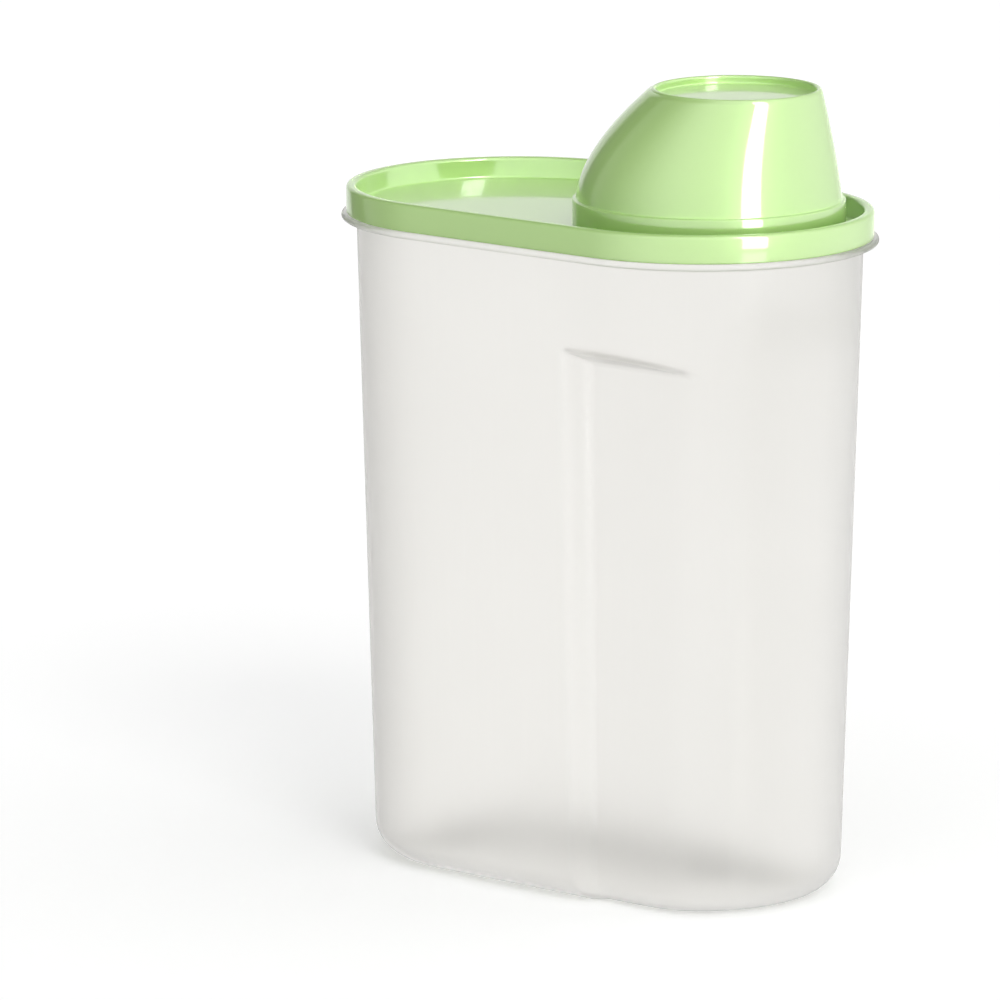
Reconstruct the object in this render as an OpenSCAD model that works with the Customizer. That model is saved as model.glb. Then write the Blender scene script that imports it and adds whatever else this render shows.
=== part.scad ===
// Dry food container: a tall translucent tub with hand grips, a tray lid that seals over the tub's
// rim, and a measuring cup that closes the pour opening upside down. Millimetres, base on Z = 0.

/* [Overall size] */
// Length of the lid, end to end
lid_l = 182; // [160:1:220]
// Width of the lid, side to side
lid_w = 109; // [100:1:114]
// Height of the rim flange's top face, on which the lid rests
rim_z = 208.2; // [195:0.1:230]

/* [Tub] */
// Thickness of the tub's walls
tub_wall = 1.3; // [1.1:0.1:1.6]
// Thickness of the tub's floor
tub_floor = 1.8; // [1.4:0.1:2.6]
// How far the wall stands in from the lid's edge under the flange
top_inset = 3.3; // [2:0.1:5]
// How far the wall stands in from the lid's edge at the base
base_inset = 9.1; // [7:0.1:10]
// Radius of the round edge at the base
base_round = 11; // [5:0.5:12]
// How far the flange stands out past the lid
flange_reach = 1.5; // [1:0.1:3]
// Thickness of the flange
flange_t = 2; // [1.6:0.1:2.6]
// Height of the neck above the flange
neck_h = 7.4; // [5:0.1:7.5]

/* [Hand grips] */
// Height of the finger ledge's outer edge
ledge_z = 177; // [160:1:185]
// How far the ledge drops from its outer edge to the grip panel
ledge_drop = 4.6; // [2:0.1:7]
// Distance from the middle plane to the grip panel, under the ledge
panel_y = 40.5; // [36:0.5:42]
// How far the panel leans in from the ledge down to the base
panel_lean = 2; // [0:0.5:3]
// Where the grip's end wall meets the panel, from the tub's middle
grip_x = 25.5; // [15:0.5:32]
// How far the grip's end wall slants back at the outer face
grip_slant = 3.5; // [1:0.5:5]
// Radius of the round edge at the panel's foot
panel_foot_round = 6; // [4:0.5:7]

/* [Lid] */
// Height of the lid's ring above the flange
ring_h = 8.8; // [8.6:0.1:11]
// Width of the ring's top
ring_w = 3.3; // [3.2:0.1:5]
// Thickness of the ring's skirt and top
ring_wall = 1; // [0.9:0.05:1.2]
// Radius of the ring's top edges
ring_round = 1.2; // [0.8:0.1:1.5]
// Depth of the deck below the ring's top
deck_drop = 6.6; // [5:0.1:7]
// Thickness of the deck
deck_t = 1.4; // [1.2:0.1:1.8]
// Clearance between parts that slide over each other
fit_gap = 0.25; // [0.2:0.05:0.35]

/* [Pour opening] */
// Centre of the opening, from the lid's middle
pour_x = 40.2; // [38:0.1:41]
// Height of the pour collar above the deck
collar_h = 7; // [5:0.5:8]
// Thickness of the pour collar
collar_wall = 1.4; // [1.2:0.1:2]

/* [Measuring cup] */
// Radius of the cup's mouth band
band_r = 42.6; // [40:0.1:43]
// Height of the mouth band
band_h = 10; // [8:0.1:11]
// Height of the whole cup, mouth down
cup_h = 45.6; // [38:0.1:55]
// Thickness of the cup's wall
cup_wall = 1.5; // [1.2:0.1:2]
// How far the dome steps in above the mouth band
band_step = 1.1; // [0.6:0.1:1.3]
// Radius of the cup's foot, at the top
foot_r = 26.5; // [22:0.5:30]
// How far the foot's centre lies past the mouth's centre
foot_shift = 10.5; // [0:0.5:12]
// How strongly the dome's sloping side curves
slope_curve = 1.68; // [1:0.02:2.4]
// Width of the foot's rim
foot_rim = 1.6; // [1.4:0.1:4]
// Depth of the hollow inside the foot's rim
foot_hollow = 2.6; // [1.5:0.1:3.5]

/* [Hidden] */
$fn = 96;

// Small overlap that makes solids join or cut cleanly
joint_lap = 0.02;
// Flat steps in a round foot's quarter circle
foot_steps = 7;

// The tub and lid are track shapes: two straight sides and two half-round ends
lid_r = lid_w / 2;
end_x = (lid_l - lid_w) / 2;
wall_top_r = lid_r - top_inset;
wall_base_r = lid_r - base_inset;
wall_top_z = rim_z - flange_t;
wall_draft = atan((wall_top_r - wall_base_r) / wall_top_z);
flange_r = lid_r + flange_reach;
neck_r = lid_r - ring_wall - fit_gap;
neck_wall = ring_w - 2 * ring_wall - 2 * fit_gap + 0.2;
neck_top_z = rim_z + neck_h;

// Grip panel and ledge
panel_angle = atan(panel_lean / (ledge_z - ledge_drop));
ledge_slope = ledge_drop / (wall_top_r - panel_y);
grip_reach = 2 * lid_r;

// Lid levels
ring_top_z = rim_z + ring_h;
deck_z = ring_top_z - deck_drop;
ring_inner_r = lid_r - ring_w;
channel_inner_r = neck_r - neck_wall - fit_gap;

// Cup
collar_r = band_r - cup_wall - fit_gap;
dome_r = band_r - band_step;
dome_rise = cup_h - band_h;
dome_rings = 14;
dome_sides = 72;

// Outline in the radius and height plane of a drafted wall with a round foot
module wall_outline(base_r, top_r, top_z, foot, draft) {
    centre_r = base_r + foot * tan(draft) - foot / cos(draft);
    foot_arc = [
        for (i = [0 : foot_steps])
            let (turn = (90 - draft) * i / foot_steps)
            [centre_r + foot * sin(turn), foot - foot * cos(turn)]
    ];
    polygon(concat([[0, 0]], foot_arc, [[top_r, top_z], [0, top_z]]));
}

// Outline of a rectangle between two radii and two heights
module band_outline(inner_r, outer_r, low_z, high_z) {
    translate([inner_r, low_z])
        square([outer_r - inner_r, high_z - low_z]);
}

// Outline of a band whose top corners are round
module rounded_band_outline(inner_r, outer_r, low_z, high_z, corner) {
    band_outline(inner_r, outer_r, low_z, high_z - corner);
    band_outline(inner_r + corner, outer_r - corner, low_z, high_z);
    for (r = [inner_r + corner, outer_r - corner])
        translate([r, high_z - corner])
            circle(r = corner);
}

// Sweeps an outline along the two straight sides and round the two ends of the track shape
module along_track() {
    for (side = [-1, 1])
        translate([side * end_x, 0, 0])
            rotate([0, 0, -90 * side])
                rotate_extrude(angle = 180)
                    children();
    rotate([90, 0, 90])
        linear_extrude(2 * end_x, center = true) {
            children();
            mirror([1, 0])
                children();
        }
}

// Everything past the grip's slanted end wall, on the side of negative Y
module past_grip_end(grow) {
    slant_angle = atan(grip_slant / (wall_top_r - panel_y));
    end_at_middle = grip_x + panel_y * tan(slant_angle) - grow / cos(slant_angle);
    translate([0, 0, -rim_z])
        linear_extrude(2 * rim_z)
            polygon([
                [end_at_middle, 0],
                [end_at_middle - grip_reach * tan(slant_angle), -grip_reach],
                [lid_l, -grip_reach],
                [lid_l, 0]
            ]);
}

// Everything below the grip's sloping ledge, on the side of negative Y
module below_ledge(grow) {
    ledge_at_middle = ledge_z - ledge_drop - panel_y * ledge_slope
        + grow / cos(atan(ledge_slope));
    rotate([90, 0, 90])
        linear_extrude(lid_l)
            polygon([
                [0, -rim_z],
                [0, ledge_at_middle],
                [-grip_reach, ledge_at_middle + grip_reach * ledge_slope],
                [-grip_reach, -rim_z]
            ]);
}

// Slab between the two grip panels, which the grips leave standing
module between_panels(grow, floor_z) {
    foot = panel_foot_round - grow;
    foot_y = panel_y - panel_lean - grow + floor_z * tan(panel_angle);
    rotate([90, 0, 90])
        linear_extrude(lid_l)
            for (side = [0, 1])
                mirror([side, 0]) {
                    translate([0, floor_z])
                        wall_outline(foot_y, foot_y + (rim_z - floor_z) * tan(panel_angle),
                            rim_z - floor_z, foot, panel_angle);
                    translate([0, -tub_floor])
                        square([foot_y - foot, floor_z + tub_floor + joint_lap]);
                }
}

// Space that both grips take out of the tub, grown by the given distance
module grips(grow, floor_z) {
    difference() {
        for (side = [0, 1])
            mirror([0, side, 0])
                intersection() {
                    past_grip_end(grow);
                    below_ledge(grow);
                }
        between_panels(grow, floor_z);
    }
}

// Room inside the tub
module tub_room() {
    difference() {
        translate([0, 0, tub_floor])
            along_track()
                wall_outline(
                    wall_base_r - tub_wall + tub_floor * tan(wall_draft),
                    wall_top_r - tub_wall + (joint_lap + flange_t) * tan(wall_draft),
                    wall_top_z - tub_floor + flange_t + joint_lap,
                    base_round - tub_wall,
                    wall_draft
                );
        grips(tub_wall, tub_floor);
    }
}

// Tall translucent tub with its flange, neck and hand grips
module tub() {
    color([0.94, 0.94, 0.92, 0.8])
        difference() {
            union() {
                difference() {
                    along_track()
                        wall_outline(wall_base_r, wall_top_r, wall_top_z, base_round, wall_draft);
                    grips(0, 0);
                }
                along_track() {
                    band_outline(0, flange_r, wall_top_z - joint_lap, rim_z);
                    band_outline(0, neck_r, rim_z - joint_lap, neck_top_z);
                }
            }
            tub_room();
            along_track()
                band_outline(0, neck_r - neck_wall, rim_z, neck_top_z + joint_lap);
        }
}

// Tray lid: a ring that caps the tub's neck, a sunken deck and the pour collar
module lid() {
    color([0.62, 0.78, 0.42])
        difference() {
            union() {
                along_track() {
                    rounded_band_outline(ring_inner_r, lid_r, rim_z, ring_top_z, ring_round);
                    band_outline(0, ring_inner_r + joint_lap, deck_z - deck_t, deck_z);
                }
                translate([pour_x, 0, deck_z - deck_t])
                    cylinder(r = collar_r, h = deck_t + collar_h);
            }
            along_track() {
                band_outline(channel_inner_r, lid_r - ring_wall, rim_z - joint_lap,
                    ring_top_z - ring_wall);
                band_outline(0, channel_inner_r + joint_lap, rim_z - joint_lap, deck_z - deck_t);
            }
            translate([pour_x, 0, rim_z])
                cylinder(r = collar_r - collar_wall, h = ring_h + collar_h);
        }
}

// Where the dome's left and right sides stand at a share of its rise
function dome_left(share) =
    pour_x - dome_r + (foot_shift + dome_r - foot_r) * pow(share, slope_curve);
function dome_right(share) =
    pour_x + dome_r - (dome_r - foot_r - foot_shift) * share;

// One ring of the dome, shrunk by the given distance
function dome_ring(share, shrink) =
    let (
        middle = (dome_left(share) + dome_right(share)) / 2,
        radius = (dome_right(share) - dome_left(share)) / 2 - shrink
    )
    [for (i = [0 : dome_sides - 1])
        [middle + radius * cos(360 * i / dome_sides), radius * sin(360 * i / dome_sides)]];

// Solid dome up to a share of its rise, standing on a straight skirt of the given depth
module dome(last_share, shrink, skirt) {
    shares = [for (k = [0 : dome_rings]) last_share * k / dome_rings];
    points = concat(
        [for (p = dome_ring(0, shrink)) [p[0], p[1], -skirt]],
        [
            for (share = shares)
                for (p = dome_ring(share, shrink))
                    [p[0], p[1], share * dome_rise]
        ]
    );
    last_ring = dome_rings + 1;
    low_face = [for (i = [0 : dome_sides - 1]) i];
    high_face = [for (i = [0 : dome_sides - 1]) (last_ring + 1) * dome_sides - 1 - i];
    side_faces = [
        for (k = [0 : last_ring - 1])
            for (i = [0 : dome_sides - 1])
                let (
                    a = k * dome_sides + i,
                    b = k * dome_sides + (i + 1) % dome_sides
                )
                each [[a, a + dome_sides, b], [b, a + dome_sides, b + dome_sides]]
    ];
    polyhedron(points, concat([low_face, high_face], side_faces));
}

// Measuring cup, mouth down over the pour collar, with a hollow foot on top
module measuring_cup() {
    room_share = (dome_rise - foot_hollow - cup_wall) / dome_rise;
    foot_x = pour_x + foot_shift;
    color([0.6, 0.77, 0.4])
        translate([0, 0, deck_z])
            difference() {
                union() {
                    translate([pour_x, 0, 0])
                        cylinder(r = band_r, h = band_h);
                    translate([0, 0, band_h])
                        dome(1, 0, cup_wall);
                }
                translate([pour_x, 0, -cup_wall])
                    cylinder(r = band_r - cup_wall, h = band_h);
                translate([0, 0, band_h])
                    dome(room_share, cup_wall, 2 * cup_wall);
                translate([foot_x, 0, cup_h - foot_hollow])
                    cylinder(r = foot_r - foot_rim, h = 2 * foot_hollow);
            }
}

tub();
lid();
measuring_cup();
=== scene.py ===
"""Dry food container: a frosted tub with hand grips, a glossy green tray lid and a measuring cup
that caps the pour opening. Every size is in metres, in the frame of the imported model."""

import math
from functools import partial

import bmesh
import bpy
from bpy.props import FloatProperty, FloatVectorProperty, IntProperty, PointerProperty
from mathutils import Matrix, Vector


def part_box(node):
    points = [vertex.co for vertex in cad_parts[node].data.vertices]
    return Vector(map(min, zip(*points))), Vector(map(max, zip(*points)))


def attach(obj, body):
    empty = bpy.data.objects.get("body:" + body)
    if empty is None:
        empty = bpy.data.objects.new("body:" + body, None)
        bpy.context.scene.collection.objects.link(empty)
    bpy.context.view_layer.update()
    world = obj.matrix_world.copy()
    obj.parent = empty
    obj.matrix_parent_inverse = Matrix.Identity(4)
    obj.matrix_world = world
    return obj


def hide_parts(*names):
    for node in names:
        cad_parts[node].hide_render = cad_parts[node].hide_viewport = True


bl_info = {
    "name": "Dry food container",
    "version": (1, 0, 0),
    "blender": (4, 5, 0),
    "location": "3D View > Sidebar > Container",
    "description": "Builds a frosted food container with a pour lid and a measuring cup",
    "category": "Add Mesh",
}

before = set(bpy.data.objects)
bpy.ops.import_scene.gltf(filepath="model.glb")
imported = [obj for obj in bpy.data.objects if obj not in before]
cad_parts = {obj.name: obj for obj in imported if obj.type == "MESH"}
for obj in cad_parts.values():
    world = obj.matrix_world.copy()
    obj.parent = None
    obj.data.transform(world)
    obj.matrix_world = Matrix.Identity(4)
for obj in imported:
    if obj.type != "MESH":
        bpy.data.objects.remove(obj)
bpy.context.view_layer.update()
TUB_LOW, TUB_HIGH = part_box("tub")
LID_LOW, LID_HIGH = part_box("lid")
CUP_LOW, CUP_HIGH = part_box("measuring_cup")
LID_R = (LID_HIGH.y - LID_LOW.y) / 2
END_X = 0.0365
RIM_Z = LID_LOW.z

# Mesh spacing along plain walls and where a blend crosses them, and the gap that counts as touching.
WALL_STEP = 0.006
FINE_STEP = 0.0006
TOUCH = 1e-6

# Where the parts of the room lie that only reflections see: start, end and soft edge, in degrees
# round from +X or up from level.
BRIGHT_SIDE = (-118, 60, 42)
DARK_SIDE = ((158, 190, 3), (-190, -176, 5))
BOX_ROUND = (-23.8, -6.8, 0.4)
BOX_UP = (-11, 55, 0.5)
LOW_BOX_UP = (-40, -15, 0.5)


def length(name, description, default):
    return FloatProperty(name=name, description=description, default=default, unit="LENGTH", precision=5)


def count(name, description, default):
    return IntProperty(name=name, description=description, default=default, min=3)


def colour(name, description, default):
    return FloatVectorProperty(
        name=name, description=description, default=default, subtype="COLOR", size=3, min=0, max=1
    )


def factor(name, description, default):
    return FloatProperty(
        name=name, description=description, default=default, subtype="FACTOR", min=0, max=1
    )


def number(name, description, default):
    return FloatProperty(name=name, description=description, default=default)


def angle(name, description, degrees):
    return FloatProperty(
        name=name, description=description, default=math.radians(degrees), subtype="ANGLE"
    )


class TubSettings(bpy.types.PropertyGroup):
    """Sizes of the tub"""

    wall: length("Wall", "Thickness of the tub's walls", 0.0013)
    floor: length("Floor", "Thickness of the tub's floor", 0.0018)
    top_r: length("Top radius", "Radius of the end walls under the flange", LID_R - 0.0033)
    base_r: length("Base radius", "Radius of the end walls at the base", LID_R - 0.0091)
    foot: length("Foot radius", "Radius of the round edge at the base", 0.011)
    flange: length("Flange", "Thickness of the flange", 0.002)
    flange_root: length("Flange fillet", "Radius of the fillet under the flange", 0.0012)
    flange_r: length("Flange radius", "Radius of the flange at the ends", TUB_HIGH.y)
    neck_r: length("Neck radius", "Outer radius of the neck inside the lid", 0.05325)
    neck_wall: length("Neck wall", "Thickness of the neck", 0.001)
    neck_top: length("Neck top", "Height of the neck's top edge", TUB_HIGH.z)
    hollow: length("Base hollow", "Depth of the hollow under the base", 0.0008)
    hollow_r: length("Base hollow radius", "Radius of the hollow under the base", 0.0275)
    end_steps: count("End steps", "Mesh steps round each end", 72)


class GripSettings(bpy.types.PropertyGroup):
    """Sizes of the hand grips"""

    ledge_z: length("Ledge height", "Height of the ledge where it meets the panel", 0.1724)
    ledge_rise: length("Ledge rise", "How far the ledge rises to its outer edge", 0.0046)
    panel_y: length("Panel distance", "Middle plane to the panel, under the ledge", 0.0405)
    panel_lean: length("Panel lean", "How far the panel leans in down to the base", 0.002)
    end_x: length("End wall", "Where the grip's end wall meets the panel", 0.0255)
    end_slant: length("End wall slant", "How far the end wall slants back at the outer face", 0.0035)
    depth: length("Depth", "Depth of the grip under the ledge", 0.0107)
    foot: length("Foot radius", "Radius of the round edge at the panel's foot", 0.006)
    inner_blend: length("Inner blend", "Size of the blend in the grip's inner corner", 0.005)
    outer_blend: length("Outer blend", "Size of the blend along the grip's outer edge", 0.0045)
    ledge_blend: length("Ledge blend", "Size of the blend along the ledge", 0.002)


class LidSettings(bpy.types.PropertyGroup):
    """Sizes of the lid"""

    ring: length("Ring width", "Width of the ring's top", 0.0033)
    ring_rise: length("Ring rise", "Height of the ring's top above the deck", 0.0066)
    ring_round: length("Ring edge", "Radius of the ring's top edges", 0.0012)
    ring_lean: length("Ring lean", "How far the ring's inner wall leans out to its top", 0.0008)
    wall: length("Ring wall", "Thickness of the ring's skirt and top", 0.001)
    channel_r: length("Channel radius", "Inner radius of the ring's channel", 0.052)
    deck_z: length("Deck height", "Height of the deck's top face", LID_LOW.z + 0.0022)
    deck: length("Deck thickness", "Thickness of the deck", 0.0014)
    deck_round: length("Deck fillet", "Radius of the fillet between deck and ring", 0.0008)
    pour_x: length("Pour centre", "Centre of the pour opening", 0.0402)
    collar_r: length("Collar radius", "Outer radius of the pour collar", 0.04085)
    collar_wall: length("Collar wall", "Thickness of the pour collar", 0.0014)
    end_steps: count("End steps", "Mesh steps round each end", 64)
    collar_steps: count("Collar steps", "Mesh steps round the pour collar", 128)


class CupSettings(bpy.types.PropertyGroup):
    """Sizes of the measuring cup"""

    wall: length("Wall", "Thickness of the cup's wall", 0.0015)
    band_r: length("Band radius", "Radius of the mouth band", 0.0426)
    band: length("Band height", "Height of the mouth band", 0.01)
    step: length("Step", "How far the dome steps in above the band", 0.0011)
    foot_r: length("Foot radius", "Radius of the cup's foot", 0.0265)
    foot_shift: length("Foot shift", "How far the foot lies past the mouth's centre", 0.0105)
    foot_rim: length("Foot rim", "Width of the foot's rim", 0.0016)
    foot_hollow: length("Foot hollow", "Depth of the hollow inside the foot's rim", 0.0026)
    slope_curve: number("Slope curve", "How strongly the sloping side curves", 1.68)
    sides: count("Sides", "Mesh steps round the cup", 144)
    rows: count("Rows", "Mesh steps up the dome", 40)


class FinishSettings(bpy.types.PropertyGroup):
    """Colours and finish of the plastics"""

    frost: colour("Frosted plastic", "Colour of the tub", (0.975, 0.968, 0.948))
    frost_clear: factor("Clearness", "Share of light that passes through the tub", 1.0)
    green: colour("Green plastic", "Colour of the lid and cup", (0.3, 0.47, 0.15))
    green_deep: colour("Deep green", "Colour where the green plastic is thickest", (0.285, 0.45, 0.14))


class StageSettings(bpy.types.PropertyGroup):
    """Camera, light and floor"""

    view_turn: angle("View turn", "How far the camera stands round to the right of the front", 38.58)
    view_rise: angle("View rise", "How far the camera looks down", 11.82)
    view_distance: length("View distance", "Camera to the container's middle", 2.6485)
    view_width: length("View width", "Width of the view at the container's middle", 0.3169)
    view_left: length("View left", "How far the view's centre lies left of the middle", 0.03397)
    view_up: length("View up", "How far the view's centre lies above the middle", 0.01461)
    middle_z: length("Middle height", "Height of the container's middle", 0.10413)
    floor_r: length("Floor radius", "Radius of the floor", 12)
    floor_drop: length("Floor drop", "How far the floor lies below the container", 0.0001)
    floor_colour: colour("Floor", "Colour of the floor", (0.9, 0.9, 0.9))
    floor_lift: factor("Floor lift", "How much the floor is lifted towards white in the picture", 0.24)
    floor_clear: factor("Floor through plastic", "How white the floor looks through the tub", 0.95)
    room_light: factor("Room light", "Mean strength of the light from all round", 0.95)
    room_swing: factor("Room swing", "How much the room is brighter on the right than on the left", 0.8)
    gloss_low: number("Reflected room", "Strength of the room that reflections see", 1.4)
    gloss_band: number("Reflected bright side", "What its bright side adds", 8.0)
    gloss_dark: factor("Reflected dark side", "How much darker its dark side is", 0.8)
    gloss_box: number("Reflected soft box", "What the tall soft box adds", 50.0)
    gloss_low_box: number("Reflected low box", "What the soft box below adds", 10.0)
    key_light: number("Key light", "Strength of the key lamp", 0.65)
    key_turn: angle("Key turn", "How far round from +X the key lamp stands", -30)
    key_rise: angle("Key rise", "How high the key lamp stands", 36)
    key_spread: angle("Key spread", "How wide the key lamp looks", 24)


# Sweeps and outlines


def arc(centre, radius, start, end, steps):
    """Points on an arc in the plane of radius and height, angles in degrees."""
    turns = [math.radians(start + (end - start) * i / steps) for i in range(steps + 1)]
    return [(centre[0] + radius * math.cos(t), centre[1] + radius * math.sin(t)) for t in turns]


def spread(start, end, step):
    """Values from start to end, evenly spread, about one step apart."""
    gaps = max(1, round(abs(end - start) / step))
    return [start + (end - start) * i / gaps for i in range(gaps + 1)]


def join_stretches(*stretches):
    """One list of values out of several that share their end values."""
    values = list(stretches[0])
    for stretch in stretches[1:]:
        values += stretch[1:]
    return values


def parts_of(geometry, kind):
    return [item for item in geometry if isinstance(item, kind)]


def draw_outline(bm, points):
    """Verts and edges of an outline given as radius and height, on the negative Y side of an end."""
    verts = [bm.verts.new((END_X, -r, z)) for r, z in points]
    edges = [bm.edges.new(pair) for pair in zip(verts, verts[1:])]
    return verts + edges


def sweep_track(bm, outline, end_steps, side_stops):
    """Sweeps an outline round the track shape: an end, the back, the other end and the front.

    side_stops are the places along X where the straight sides get a row, from one end to the other.
    """
    last = outline
    for side in (1, -1):
        spun = bmesh.ops.spin(
            bm, geom=last, cent=(side * END_X, 0, 0), axis=(0, 0, 1), angle=math.pi, steps=end_steps
        )
        last = spun["geom_last"]
        stops = side_stops[::-1] if side > 0 else side_stops
        for here, there in zip(stops, stops[1:]):
            grown = bmesh.ops.extrude_edge_only(bm, edges=parts_of(last, bmesh.types.BMEdge))
            last = parts_of(grown["geom"], (bmesh.types.BMVert, bmesh.types.BMEdge))
            verts = parts_of(last, bmesh.types.BMVert)
            bmesh.ops.translate(bm, verts=verts, vec=(there - here, 0, 0))
    bmesh.ops.remove_doubles(bm, verts=bm.verts, dist=TOUCH)


def stack_rings(bm, rings, sides):
    """A skin through level rings, each given as its centre's X, its radius and its height."""
    first_x, first_r, first_z = rings[0]
    place = Matrix.Translation((first_x, 0, first_z))
    bmesh.ops.create_circle(bm, segments=sides, radius=first_r, matrix=place)
    loop = list(bm.edges)
    for (here_x, here_r, here_z), (x, r, z) in zip(rings, rings[1:]):
        grown = bmesh.ops.extrude_edge_only(bm, edges=loop)
        verts = parts_of(grown["geom"], bmesh.types.BMVert)
        loop = parts_of(grown["geom"], bmesh.types.BMEdge)
        middle = Matrix.Translation((-here_x, 0, -here_z))
        bmesh.ops.scale(bm, verts=verts, vec=(r / here_r, r / here_r, 1), space=middle)
        bmesh.ops.translate(bm, verts=verts, vec=(x - here_x, 0, z - here_z))
    return loop


def finish_piece(bm, name, body, nodes, material, sharp_angle=50):
    """Turns a bmesh into a smooth piece that rides on its body and stands for its CAD nodes."""
    bmesh.ops.recalc_face_normals(bm, faces=bm.faces)
    mesh = bpy.data.meshes.new(name)
    bm.to_mesh(mesh)
    bm.free()
    mesh.polygons.foreach_set("use_smooth", [True] * len(mesh.polygons))
    mesh.set_sharp_from_angle(angle=math.radians(sharp_angle))
    mesh.materials.append(material)
    piece = bpy.data.objects.new(name, mesh)
    bpy.context.scene.collection.objects.link(piece)
    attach(piece, body)
    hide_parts(*nodes)
    return piece


# Materials


def new_nodes(tree):
    tree.nodes.clear()
    return tree.nodes, tree.links


def maths(tree, operation, *values):
    """Adds one step of arithmetic to a node tree and returns its result."""
    node = tree.nodes.new("ShaderNodeMath")
    node.operation = operation
    for socket, value in zip(node.inputs, values):
        if isinstance(value, (int, float)):
            socket.default_value = value
        else:
            tree.links.new(value, socket)
    return node.outputs[0]


def moulded_skin():
    """Node group for moulded plastic: fine grain, slow waviness and upright draw streaks."""
    known = bpy.data.node_groups.get("Moulded skin")
    if known:
        return known
    group = bpy.data.node_groups.new("Moulded skin", "ShaderNodeTree")
    sockets = (
        ("Grain", "INPUT", 700.0),
        ("Streaks", "INPUT", 0.5),
        ("Rough low", "INPUT", 0.1),
        ("Rough high", "INPUT", 0.2),
        ("Height", "OUTPUT", 0.0),
        ("Roughness", "OUTPUT", 0.0),
        ("Tone", "OUTPUT", 0.0),
    )
    for name, way, default in sockets:
        socket = group.interface.new_socket(name=name, in_out=way, socket_type="NodeSocketFloat")
        socket.default_value = default
    nodes, links = new_nodes(group)
    given = nodes.new("NodeGroupInput")
    result = nodes.new("NodeGroupOutput")
    place = nodes.new("ShaderNodeTexCoord")

    add = partial(maths, group, "ADD")
    times = partial(maths, group, "MULTIPLY")

    def noise(vector, scale, detail):
        node = nodes.new("ShaderNodeTexNoise")
        links.new(vector, node.inputs["Vector"])
        node.inputs["Scale"].default_value = scale
        node.inputs["Detail"].default_value = detail
        return node

    grain = noise(place.outputs["Object"], 1, 3)
    links.new(given.outputs["Grain"], grain.inputs["Scale"])
    waves = noise(place.outputs["Object"], 28, 2)
    clouds = noise(place.outputs["Object"], 14, 4)
    stretch = nodes.new("ShaderNodeMapping")
    stretch.inputs["Scale"].default_value = (1, 1, 0.03)
    links.new(place.outputs["Object"], stretch.inputs["Vector"])
    streaks = noise(stretch.outputs["Vector"], 420, 2)
    streak_mask = times(streaks.outputs["Fac"], given.outputs["Streaks"])
    fine = times(grain.outputs["Fac"], 0.25)
    slow = times(waves.outputs["Fac"], 2.0)
    links.new(add(add(fine, slow), streak_mask), result.inputs["Height"])
    blend = nodes.new("ShaderNodeMapRange")
    links.new(clouds.outputs["Fac"], blend.inputs["Value"])
    blend.inputs["From Min"].default_value = 0.3
    blend.inputs["From Max"].default_value = 0.7
    links.new(given.outputs["Rough low"], blend.inputs["To Min"])
    links.new(given.outputs["Rough high"], blend.inputs["To Max"])
    links.new(blend.outputs["Result"], result.inputs["Roughness"])
    tone = add(times(clouds.outputs["Fac"], 0.6), streak_mask)
    links.new(tone, result.inputs["Tone"])
    return group


def plastic(name, light, deep, rough, bump, grain, streaks, shader_values):
    """A moulded plastic whose colour runs between two tones, with its fine grain and waviness."""
    material = bpy.data.materials.new(name)
    material.use_nodes = True
    nodes, links = new_nodes(material.node_tree)
    output = nodes.new("ShaderNodeOutputMaterial")
    shader = nodes.new("ShaderNodeBsdfPrincipled")
    links.new(shader.outputs["BSDF"], output.inputs["Surface"])
    skin = nodes.new("ShaderNodeGroup")
    skin.node_tree = moulded_skin()
    skin.inputs["Grain"].default_value = grain
    skin.inputs["Streaks"].default_value = streaks
    skin.inputs["Rough low"].default_value = rough[0]
    skin.inputs["Rough high"].default_value = rough[1]
    tint = nodes.new("ShaderNodeMix")
    tint.data_type = "RGBA"
    tint.inputs["A"].default_value = (*light, 1)
    tint.inputs["B"].default_value = (*deep, 1)
    links.new(skin.outputs["Tone"], tint.inputs["Factor"])
    links.new(tint.outputs["Result"], shader.inputs["Base Color"])
    links.new(skin.outputs["Roughness"], shader.inputs["Roughness"])
    relief = nodes.new("ShaderNodeBump")
    relief.inputs["Strength"].default_value = 1
    relief.inputs["Distance"].default_value = bump
    links.new(skin.outputs["Height"], relief.inputs["Height"])
    links.new(relief.outputs["Normal"], shader.inputs["Normal"])
    for socket, value in shader_values.items():
        shader.inputs[socket].default_value = value
    return material


def frosted_plastic(finish):
    """Milky see-through plastic of the tub."""
    light = Vector(finish.frost)
    return plastic(
        "frosted polypropylene", light, light * 0.97, (0.43, 0.5), 0.00003, 900, 1.5,
        {
            "IOR": 1.2, "Transmission Weight": finish.frost_clear,
            "Coat Weight": 0.08, "Coat Roughness": 0.12, "Coat IOR": 1.4,
        },
    )


def green_plastic(finish):
    """Glossy leaf green plastic of the lid and cup."""
    known = bpy.data.materials.get("green gloss plastic")
    if known:
        return known
    return plastic(
        "green gloss plastic", finish.green, finish.green_deep, (0.06, 0.1), 0.00001, 800, 0.1,
        {
            "IOR": 1.49, "Specular IOR Level": 0.3,
            "Coat Weight": 0.5, "Coat Roughness": 0.45, "Coat IOR": 1.49,
        },
    )


# Tub


def smooth_lower(a, b, blend):
    """The lower of two values, with a round blend where they meet."""
    near = max(blend - abs(a - b), 0)
    return min(a, b) - near * near / (4 * blend)


def smooth_upper(a, b, blend):
    """The higher of two values, with a round blend where they meet."""
    return -smooth_lower(-a, -b, blend)


def tub_wall_radius(tub, z):
    """Radius of the end walls' outer face at a height."""
    wall_top = RIM_Z - tub.flange
    return tub.base_r + (tub.top_r - tub.base_r) * z / wall_top


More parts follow.
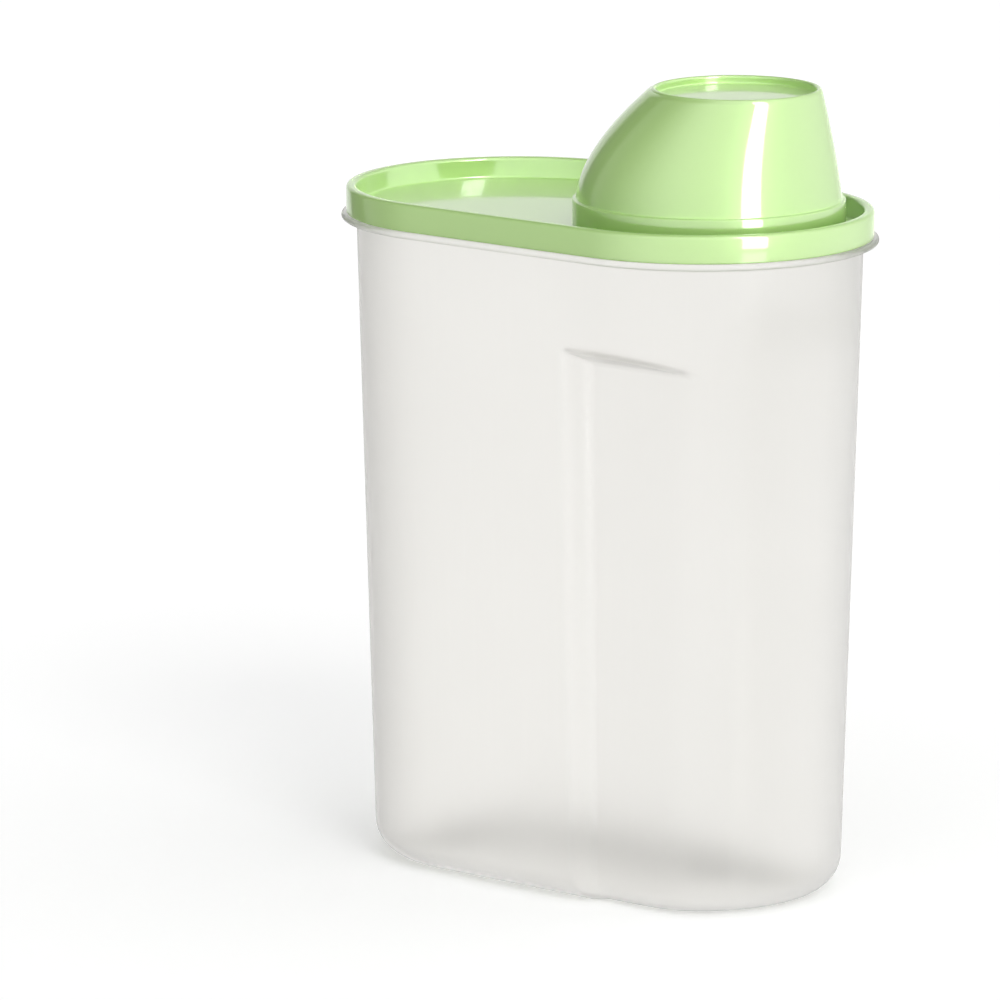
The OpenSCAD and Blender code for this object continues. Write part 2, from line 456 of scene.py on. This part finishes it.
def tub_reach(tub, z):
    """Radius of the tub's outer face, round edge at the base included."""
    above = min(z, tub.foot)
    return tub_wall_radius(tub, z) - tub.foot + math.sqrt(tub.foot**2 - (tub.foot - above) ** 2)


def tub_rows(tub, grip):
    """Heights of the wall's rows, close together round the ledge."""
    margin = 0.005
    ledge_low = grip.ledge_z - margin
    ledge_high = grip.ledge_z + grip.ledge_rise + margin
    return join_stretches(
        spread(tub.foot, ledge_low, WALL_STEP),
        spread(ledge_low, ledge_high, FINE_STEP),
        spread(ledge_high, RIM_Z - tub.flange - tub.flange_root, WALL_STEP),
    )


def tub_outline(tub, grip):
    """Outline of the tub's wall in radius and height, from the underside to the inside floor."""
    rows = tub_rows(tub, grip)
    draft = math.degrees(math.atan((tub.top_r - tub.base_r) / (RIM_Z - tub.flange)))
    flange_z = RIM_Z - tub.flange
    under = tub_wall_radius(tub, flange_z)
    lip = tub.flange / 2
    neck_in = tub.neck_r - tub.neck_wall
    edge = tub.neck_wall / 2
    root = 0.0003
    chamfer = 0.0004
    rise = 0.0001
    inner_top = tub.top_r - tub.wall
    foot_in = tub.foot - tub.wall
    foot_x = tub_wall_radius(tub, tub.foot) - tub.foot
    inner_foot_x = tub_wall_radius(tub, tub.floor + foot_in) - tub.wall - foot_in
    hollow_slope = 0.001
    underside = [(0, tub.hollow), (tub.hollow_r - hollow_slope, tub.hollow), (tub.hollow_r, 0)]
    outer_foot = arc((foot_x, tub.foot), tub.foot, -90, -draft, 10)[:-1]
    outer_wall = [(tub_wall_radius(tub, z), z) for z in rows]
    under_flange = arc((under + tub.flange_root, flange_z - tub.flange_root), tub.flange_root, 180, 90, 4)
    flange_lip = arc((tub.flange_r - lip, flange_z + lip), lip, -90, 90, 10)
    neck_root = arc((tub.neck_r + root, RIM_Z + root), root, 270, 180, 3)
    neck_edge = arc((tub.neck_r - edge, tub.neck_top - edge), edge, 0, 180, 8)
    shoulder = [
        (neck_in, RIM_Z + rise + chamfer), (neck_in - chamfer, RIM_Z + rise),
        (inner_top + chamfer, RIM_Z), (inner_top, RIM_Z - chamfer),
    ]
    inner_rows = [z for z in reversed(rows) if z > foot_in + tub.floor]
    inner_wall = [(tub_wall_radius(tub, z) - tub.wall, z) for z in inner_rows]
    inner_foot = arc((inner_foot_x, tub.floor + foot_in), foot_in, -draft, -90, 9)
    return (
        underside + outer_foot + outer_wall + under_flange + flange_lip + neck_root + neck_edge
        + shoulder + inner_wall + inner_foot + [(0, tub.floor)]
    )


def grip_limit(grip, x, z, grow, floor):
    """How far from the middle plane the tub may reach at a place, grown into the tub."""
    panel = grip.panel_y - grip.panel_lean * (1 - z / grip.ledge_z) - grow
    foot = grip.foot - grow
    above_floor = max(z - floor, 0)
    if above_floor < foot:
        panel -= foot - math.sqrt(foot**2 - (foot - above_floor) ** 2)
    slope = grip.depth / grip.end_slant
    end_x = grip.end_x - grow / math.cos(math.atan(1 / slope))
    end_wall = grip.panel_y + (end_x - x) * slope
    steep = grip.depth / grip.ledge_rise
    ledge_z = grip.ledge_z + grow / math.cos(math.atan(1 / steep))
    ledge = grip.panel_y + (z - ledge_z) * steep
    return smooth_upper(smooth_upper(panel, end_wall, grip.inner_blend), ledge, grip.ledge_blend)


def press_grips(bm, tub, grip):
    """Presses the hand grips into both long sides, outer and inner skin alike.

    The blend along the outer edge grows from the ledge's to its full size over a height below the ledge.
    """
    growing = 0.015
    slack = 1e-5
    for vert in bm.verts:
        x, y, z = vert.co
        reach = math.hypot(max(abs(x) - END_X, 0), y)
        inner = reach < tub_reach(tub, z) - tub.wall / 2 and z > tub.floor - slack
        grow, floor = (tub.wall, tub.floor) if inner else (0, 0)
        grown = min(max((grip.ledge_z - z) / growing, 0), 1)
        blend = grip.ledge_blend + (grip.outer_blend - grip.ledge_blend) * grown
        limit = grip_limit(grip, x, z, grow, floor)
        vert.co.y = math.copysign(smooth_lower(abs(y), limit, blend), y)


class CONTAINER_OT_tub(bpy.types.Operator):
    """Builds the frosted tub with its flange, neck and hand grips"""

    bl_idname = "container.tub"
    bl_label = "Tub"

    def execute(self, context):
        tub = context.scene.container_tub
        grip = context.scene.container_grip
        end_low = grip.end_x - 0.010
        end_high = grip.end_x + 0.004
        side_stops = join_stretches(
            spread(-END_X, end_low, 0.005),
            spread(end_low, end_high, FINE_STEP),
            spread(end_high, END_X, 0.0022),
        )
        bm = bmesh.new()
        outline = draw_outline(bm, tub_outline(tub, grip))
        sweep_track(bm, outline, tub.end_steps, side_stops)
        press_grips(bm, tub, grip)
        material = frosted_plastic(context.scene.container_finish)
        finish_piece(bm, "tub_shell", "tub", ["tub"], material)
        return {"FINISHED"}


# Lid


def lid_outline(lid):
    """Outline of the lid's ring, from the deck's top face over the ring to the deck's underside."""
    top = lid.deck_z + lid.ring_rise
    under = lid.deck_z - lid.deck
    inner = LID_R - lid.ring
    corner = inner - lid.ring_lean
    edge = lid.ring_round
    fillet = lid.deck_round
    landing = 0.002
    inset = 0.003
    hem = 0.0003
    skirt_in = LID_R - lid.wall
    ceiling = top - lid.wall
    return (
        [(corner - 2 * landing, lid.deck_z), (corner - landing, lid.deck_z)]
        + arc((corner - fillet, lid.deck_z + fillet), fillet, -90, -7, 5)
        + arc((inner + edge, top - edge), edge, 180, 90, 6)
        + arc((LID_R - edge, top - edge), edge, 90, 0, 6)
        + arc((LID_R - hem, RIM_Z + hem), hem, 0, -90, 3)
        + arc((skirt_in + hem, RIM_Z + hem), hem, -90, -180, 3)
        + [(skirt_in, ceiling - hem), (skirt_in - hem, ceiling)]
        + [(lid.channel_r + hem, ceiling), (lid.channel_r, ceiling - hem)]
        + [(lid.channel_r, under + hem), (lid.channel_r - hem, under), (lid.channel_r - inset, under)]
    )


def collar_rings(lid, top):
    """Rings of the pour collar, from the deck's top face over its lip to the deck's underside."""
    fillet = 0.0006
    landing = 0.002
    chamfer = 0.0004
    lip = lid.collar_wall / 2
    outer = lid.collar_r
    inner = lid.collar_r - lid.collar_wall
    under = lid.deck_z - lid.deck
    profile = (
        [(outer + landing, lid.deck_z)]
        + arc((outer + fillet, lid.deck_z + fillet), fillet, 270, 180, 4)
        + arc((outer - lip, top - lip), lip, 0, 180, 8)
        + [(inner, under + chamfer), (inner + chamfer, under), (inner + chamfer + landing, under)]
    )
    return [(lid.pour_x, r, z) for r, z in profile]


def edges_at_level(bm, z):
    """Open edges that lie at one height."""
    return [e for e in bm.edges if e.is_boundary and all(abs(v.co.z - z) < TOUCH for v in e.verts)]


class CONTAINER_OT_lid(bpy.types.Operator):
    """Builds the green lid: ring, sunken deck and pour collar"""

    bl_idname = "container.lid"
    bl_label = "Lid"

    def execute(self, context):
        lid = context.scene.container_lid
        bm = bmesh.new()
        stack_rings(bm, collar_rings(lid, LID_HIGH.z), lid.collar_steps)
        collar = bpy.data.meshes.new("collar")
        bm.to_mesh(collar)
        bm.clear()
        outline = draw_outline(bm, lid_outline(lid))
        sweep_track(bm, outline, lid.end_steps, spread(-END_X, END_X, 0.006))
        bm.from_mesh(collar)
        bpy.data.meshes.remove(collar)
        for level, up in ((lid.deck_z, 1), (lid.deck_z - lid.deck, -1)):
            edges = edges_at_level(bm, level)
            if len(edges) < 2 * lid.end_steps:
                raise RuntimeError("the deck's rims were not found")
            bmesh.ops.triangle_fill(bm, use_beauty=True, edges=edges, normal=(0, 0, up))
        material = green_plastic(context.scene.container_finish)
        finish_piece(bm, "lid_shell", "lid", ["lid"], material)
        return {"FINISHED"}


# Measuring cup


def dome_ring(cup, pour_x, share, shrink):
    """Centre, radius and height of the dome at a share of its rise."""
    dome_r = cup.band_r - cup.step
    rise = CUP_HIGH.z - CUP_LOW.z - cup.band
    left = pour_x - dome_r + (cup.foot_shift + dome_r - cup.foot_r) * share**cup.slope_curve
    right = pour_x + dome_r - (dome_r - cup.foot_r - cup.foot_shift) * share
    return ((left + right) / 2, (right - left) / 2 - shrink, CUP_LOW.z + cup.band + rise * share)


def level_rings(x, profile):
    return [(x, r, z) for r, z in profile]


def cup_rings(cup, pour_x):
    """Rings of the cup's skin, from the inside of its floor out over the mouth to the foot."""
    low, top = CUP_LOW.z, CUP_HIGH.z
    step_z = low + cup.band
    rise = top - step_z
    room_share = (rise - cup.foot_hollow - cup.wall) / rise
    foot_x = pour_x + cup.foot_shift
    edge = 0.0005
    root = 0.0003
    corner = 0.0004
    rim_edge = cup.foot_rim / 2
    flat_shares = (0.02, 0.5, 0.94)
    room_shares = [room_share * (1 - k / cup.rows) for k in range(cup.rows + 1)]
    inside = [dome_ring(cup, pour_x, share, cup.wall) for share in room_shares]
    ceiling_x, ceiling_r, ceiling_z = inside[0]
    inner_r = cup.band_r - cup.wall
    dome_r = cup.band_r - cup.step
    ceiling = [(ceiling_x, ceiling_r * share, ceiling_z) for share in (*flat_shares, 0.985)]
    mouth = (
        [(inner_r, step_z - cup.wall - corner)]
        + arc((inner_r + edge, low + edge), edge, 180, 270, 4)
        + arc((cup.band_r - edge, low + edge), edge, 270, 360, 4)
        + arc((cup.band_r - edge, step_z - edge), edge, 0, 90, 5)
        + arc((dome_r + root, step_z + root), root, 270, 180, 3)
    )
    last_share = 1 - rim_edge / rise
    outside = [dome_ring(cup, pour_x, last_share * k / cup.rows, 0) for k in range(1, cup.rows + 1)]
    hollow_r = cup.foot_r - cup.foot_rim
    hollow_z = top - cup.foot_hollow
    rim = (
        arc((cup.foot_r - rim_edge, top - rim_edge), rim_edge, 15, 180, 9)
        + arc((hollow_r - edge, hollow_z + edge), edge, 0, -90, 4)
        + [(hollow_r * share, hollow_z) for share in reversed(flat_shares)]
    )
    return ceiling + inside + level_rings(pour_x, mouth) + outside + level_rings(foot_x, rim)


class CONTAINER_OT_cup(bpy.types.Operator):
    """Builds the green measuring cup, mouth down over the pour collar"""

    bl_idname = "container.cup"
    bl_label = "Measuring cup"

    def execute(self, context):
        cup = context.scene.container_cup
        pour_x = context.scene.container_lid.pour_x
        bm = bmesh.new()
        stack_rings(bm, cup_rings(cup, pour_x), cup.sides)
        bmesh.ops.holes_fill(bm, edges=[e for e in bm.edges if e.is_boundary], sides=0)
        material = green_plastic(context.scene.container_finish)
        finish_piece(bm, "cup_shell", "measuring_cup", ["measuring_cup"], material)
        return {"FINISHED"}


# Stage


def add_camera(stage):
    """Camera at the photograph's angle and distance, aimed a little left of the container's middle."""
    back = Vector((
        math.sin(stage.view_turn) * math.cos(stage.view_rise),
        -math.cos(stage.view_turn) * math.cos(stage.view_rise),
        math.sin(stage.view_rise),
    ))
    right = Vector((math.cos(stage.view_turn), math.sin(stage.view_turn), 0))
    up = back.cross(right)
    middle = Vector((0, 0, stage.middle_z))
    place = middle + back * stage.view_distance
    aim = middle - right * stage.view_left + up * stage.view_up
    camera = bpy.data.cameras.new("camera")
    camera.lens = camera.sensor_width * stage.view_distance / stage.view_width
    camera.clip_end = 100
    holder = bpy.data.objects.new("camera", camera)
    holder.location = place
    holder.rotation_euler = (aim - place).to_track_quat("-Z", "Y").to_euler()
    bpy.context.scene.collection.objects.link(holder)
    bpy.context.scene.camera = holder


def add_key_light(stage):
    """Broad soft key lamp from the front right, which draws the soft shadow on the floor."""
    lamp = bpy.data.lights.new("key", "SUN")
    lamp.energy = stage.key_light
    lamp.angle = stage.key_spread
    holder = bpy.data.objects.new("key", lamp)
    turn, rise = stage.key_turn, stage.key_rise
    towards = Vector((math.cos(turn) * math.cos(rise), math.sin(turn) * math.cos(rise), math.sin(rise)))
    holder.rotation_euler = towards.to_track_quat("Z", "Y").to_euler()
    holder.visible_glossy = False
    bpy.context.scene.collection.objects.link(holder)


def floor_material(stage):
    """Pale floor that keeps the shadow and is lifted towards white where it is looked at."""
    material = bpy.data.materials.new("pale floor")
    material.use_nodes = True
    nodes, links = new_nodes(material.node_tree)
    output = nodes.new("ShaderNodeOutputMaterial")
    diffuse = nodes.new("ShaderNodeBsdfDiffuse")
    diffuse.inputs["Color"].default_value = (*stage.floor_colour, 1)
    rays = nodes.new("ShaderNodeLightPath")
    times = partial(maths, material.node_tree, "MULTIPLY")
    lift = nodes.new("ShaderNodeEmission")
    links.new(times(rays.outputs["Is Camera Ray"], stage.floor_lift), lift.inputs["Strength"])
    lifted = nodes.new("ShaderNodeAddShader")
    links.new(diffuse.outputs[0], lifted.inputs[0])
    links.new(lift.outputs[0], lifted.inputs[1])
    white = nodes.new("ShaderNodeEmission")
    both = nodes.new("ShaderNodeMixShader")
    links.new(times(rays.outputs["Is Transmission Ray"], stage.floor_clear), both.inputs["Fac"])
    links.new(lifted.outputs[0], both.inputs[1])
    links.new(white.outputs[0], both.inputs[2])
    links.new(both.outputs[0], output.inputs["Surface"])
    return material


def add_floor(stage):
    bm = bmesh.new()
    bmesh.ops.create_circle(bm, cap_ends=True, segments=64, radius=stage.floor_r)
    bmesh.ops.translate(bm, verts=bm.verts, vec=(0, 0, -stage.floor_drop))
    mesh = bpy.data.meshes.new("floor")
    bm.to_mesh(mesh)
    bm.free()
    mesh.materials.append(floor_material(stage))
    floor = bpy.data.objects.new("floor", mesh)
    bpy.context.scene.collection.objects.link(floor)
    floor.visible_glossy = False


def soft_band(tree, value, low, high, soft):
    """1 between two values, falling to 0 over a soft edge on either side."""
    steps = []
    for middle in (low, high):
        step = tree.nodes.new("ShaderNodeMapRange")
        step.interpolation_type = "SMOOTHSTEP"
        tree.links.new(value, step.inputs["Value"])
        step.inputs["From Min"].default_value = middle - soft
        step.inputs["From Max"].default_value = middle + soft
        steps.append(step.outputs["Result"])
    return maths(tree, "SUBTRACT", *steps)


def reflected_room(tree, direction, stage):
    """The room as reflections see it: a bright side, a dark side and two soft boxes."""
    add = partial(maths, tree, "ADD")
    times = partial(maths, tree, "MULTIPLY")
    split = tree.nodes.new("ShaderNodeSeparateXYZ")
    tree.links.new(direction, split.inputs[0])
    turn = maths(tree, "DEGREES", maths(tree, "ARCTAN2", split.outputs["Y"], split.outputs["X"]))
    rise = maths(tree, "DEGREES", maths(tree, "ARCSINE", split.outputs["Z"]))
    bright = soft_band(tree, turn, *BRIGHT_SIDE)
    dark = add(*(soft_band(tree, turn, *side) for side in DARK_SIDE))
    box_turn = soft_band(tree, turn, *BOX_ROUND)
    box = times(box_turn, soft_band(tree, rise, *BOX_UP))
    low_box = times(box_turn, soft_band(tree, rise, *LOW_BOX_UP))
    around = add(stage.gloss_low, times(bright, stage.gloss_band))
    around = times(around, maths(tree, "SUBTRACT", 1.0, times(dark, stage.gloss_dark)))
    return add(around, add(times(box, stage.gloss_box), times(low_box, stage.gloss_low_box)))


def even_room(tree, direction, stage):
    """The room as matt surfaces see it: soft light from all round, brighter on the right."""
    side = tree.nodes.new("ShaderNodeVectorMath")
    side.operation = "DOT_PRODUCT"
    tree.links.new(direction, side.inputs[0])
    turn = math.radians(-10)
    side.inputs[1].default_value = (math.cos(turn), math.sin(turn), 0)
    swing = maths(tree, "MULTIPLY", side.outputs["Value"], stage.room_light * stage.room_swing)
    return maths(tree, "ADD", stage.room_light, swing)


def add_world(stage):
    """Soft room. It looks plain white to the camera and through clear plastic."""
    world = bpy.data.worlds.new("room")
    world.use_nodes = True
    bpy.context.scene.world = world
    tree = world.node_tree
    nodes, links = new_nodes(tree)
    output = nodes.new("ShaderNodeOutputWorld")
    background = nodes.new("ShaderNodeBackground")
    rays = nodes.new("ShaderNodeLightPath")
    direction = nodes.new("ShaderNodeTexCoord").outputs["Generated"]
    lit = nodes.new("ShaderNodeMix")
    links.new(rays.outputs["Is Glossy Ray"], lit.inputs["Factor"])
    links.new(even_room(tree, direction, stage), lit.inputs["A"])
    links.new(reflected_room(tree, direction, stage), lit.inputs["B"])
    clear = maths(tree, "MAXIMUM", rays.outputs["Is Camera Ray"], rays.outputs["Is Transmission Ray"])
    strength = nodes.new("ShaderNodeMix")
    links.new(clear, strength.inputs["Factor"])
    links.new(lit.outputs["Result"], strength.inputs["A"])
    strength.inputs["B"].default_value = 1.0
    links.new(strength.outputs["Result"], background.inputs["Strength"])
    links.new(background.outputs[0], output.inputs["Surface"])


class CONTAINER_OT_stage(bpy.types.Operator):
    """Sets the camera, the floor and the soft studio light"""

    bl_idname = "container.stage"
    bl_label = "Stage"

    def execute(self, context):
        stage = context.scene.container_stage
        add_camera(stage)
        add_key_light(stage)
        add_floor(stage)
        add_world(stage)
        context.scene.view_settings.view_transform = "Standard"
        return {"FINISHED"}


class CONTAINER_PT_panel(bpy.types.Panel):
    """Lists the container's settings and the buttons that build it"""

    bl_idname = "CONTAINER_PT_panel"
    bl_label = "Dry food container"
    bl_space_type = "VIEW_3D"
    bl_region_type = "UI"
    bl_category = "Container"

    def draw(self, context):
        for name, title, _, operator in SETTINGS:
            box = self.layout.box()
            box.label(text=title)
            settings = getattr(context.scene, name)
            for key in settings.__annotations__:
                box.prop(settings, key)
            if operator:
                box.operator(operator)


SETTINGS = (
    ("container_tub", "Tub", TubSettings, "container.tub"),
    ("container_grip", "Hand grips", GripSettings, None),
    ("container_lid", "Lid", LidSettings, "container.lid"),
    ("container_cup", "Measuring cup", CupSettings, "container.cup"),
    ("container_finish", "Finish", FinishSettings, None),
    ("container_stage", "Stage", StageSettings, "container.stage"),
)
OPERATORS = (CONTAINER_OT_stage, CONTAINER_OT_tub, CONTAINER_OT_lid, CONTAINER_OT_cup)


def register():
    for name, _, settings, _ in SETTINGS:
        bpy.utils.register_class(settings)
        setattr(bpy.types.Scene, name, PointerProperty(type=settings))
    for operator in OPERATORS:
        bpy.utils.register_class(operator)
    bpy.utils.register_class(CONTAINER_PT_panel)


def unregister():
    bpy.utils.unregister_class(CONTAINER_PT_panel)
    for operator in OPERATORS:
        bpy.utils.unregister_class(operator)
    for name, _, settings, _ in SETTINGS:
        delattr(bpy.types.Scene, name)
        bpy.utils.unregister_class(settings)


def main():
    register()
    bpy.ops.container.stage()
    bpy.ops.container.tub()
    bpy.ops.container.lid()
    bpy.ops.container.cup()


if __name__ == "__main__":
    main()
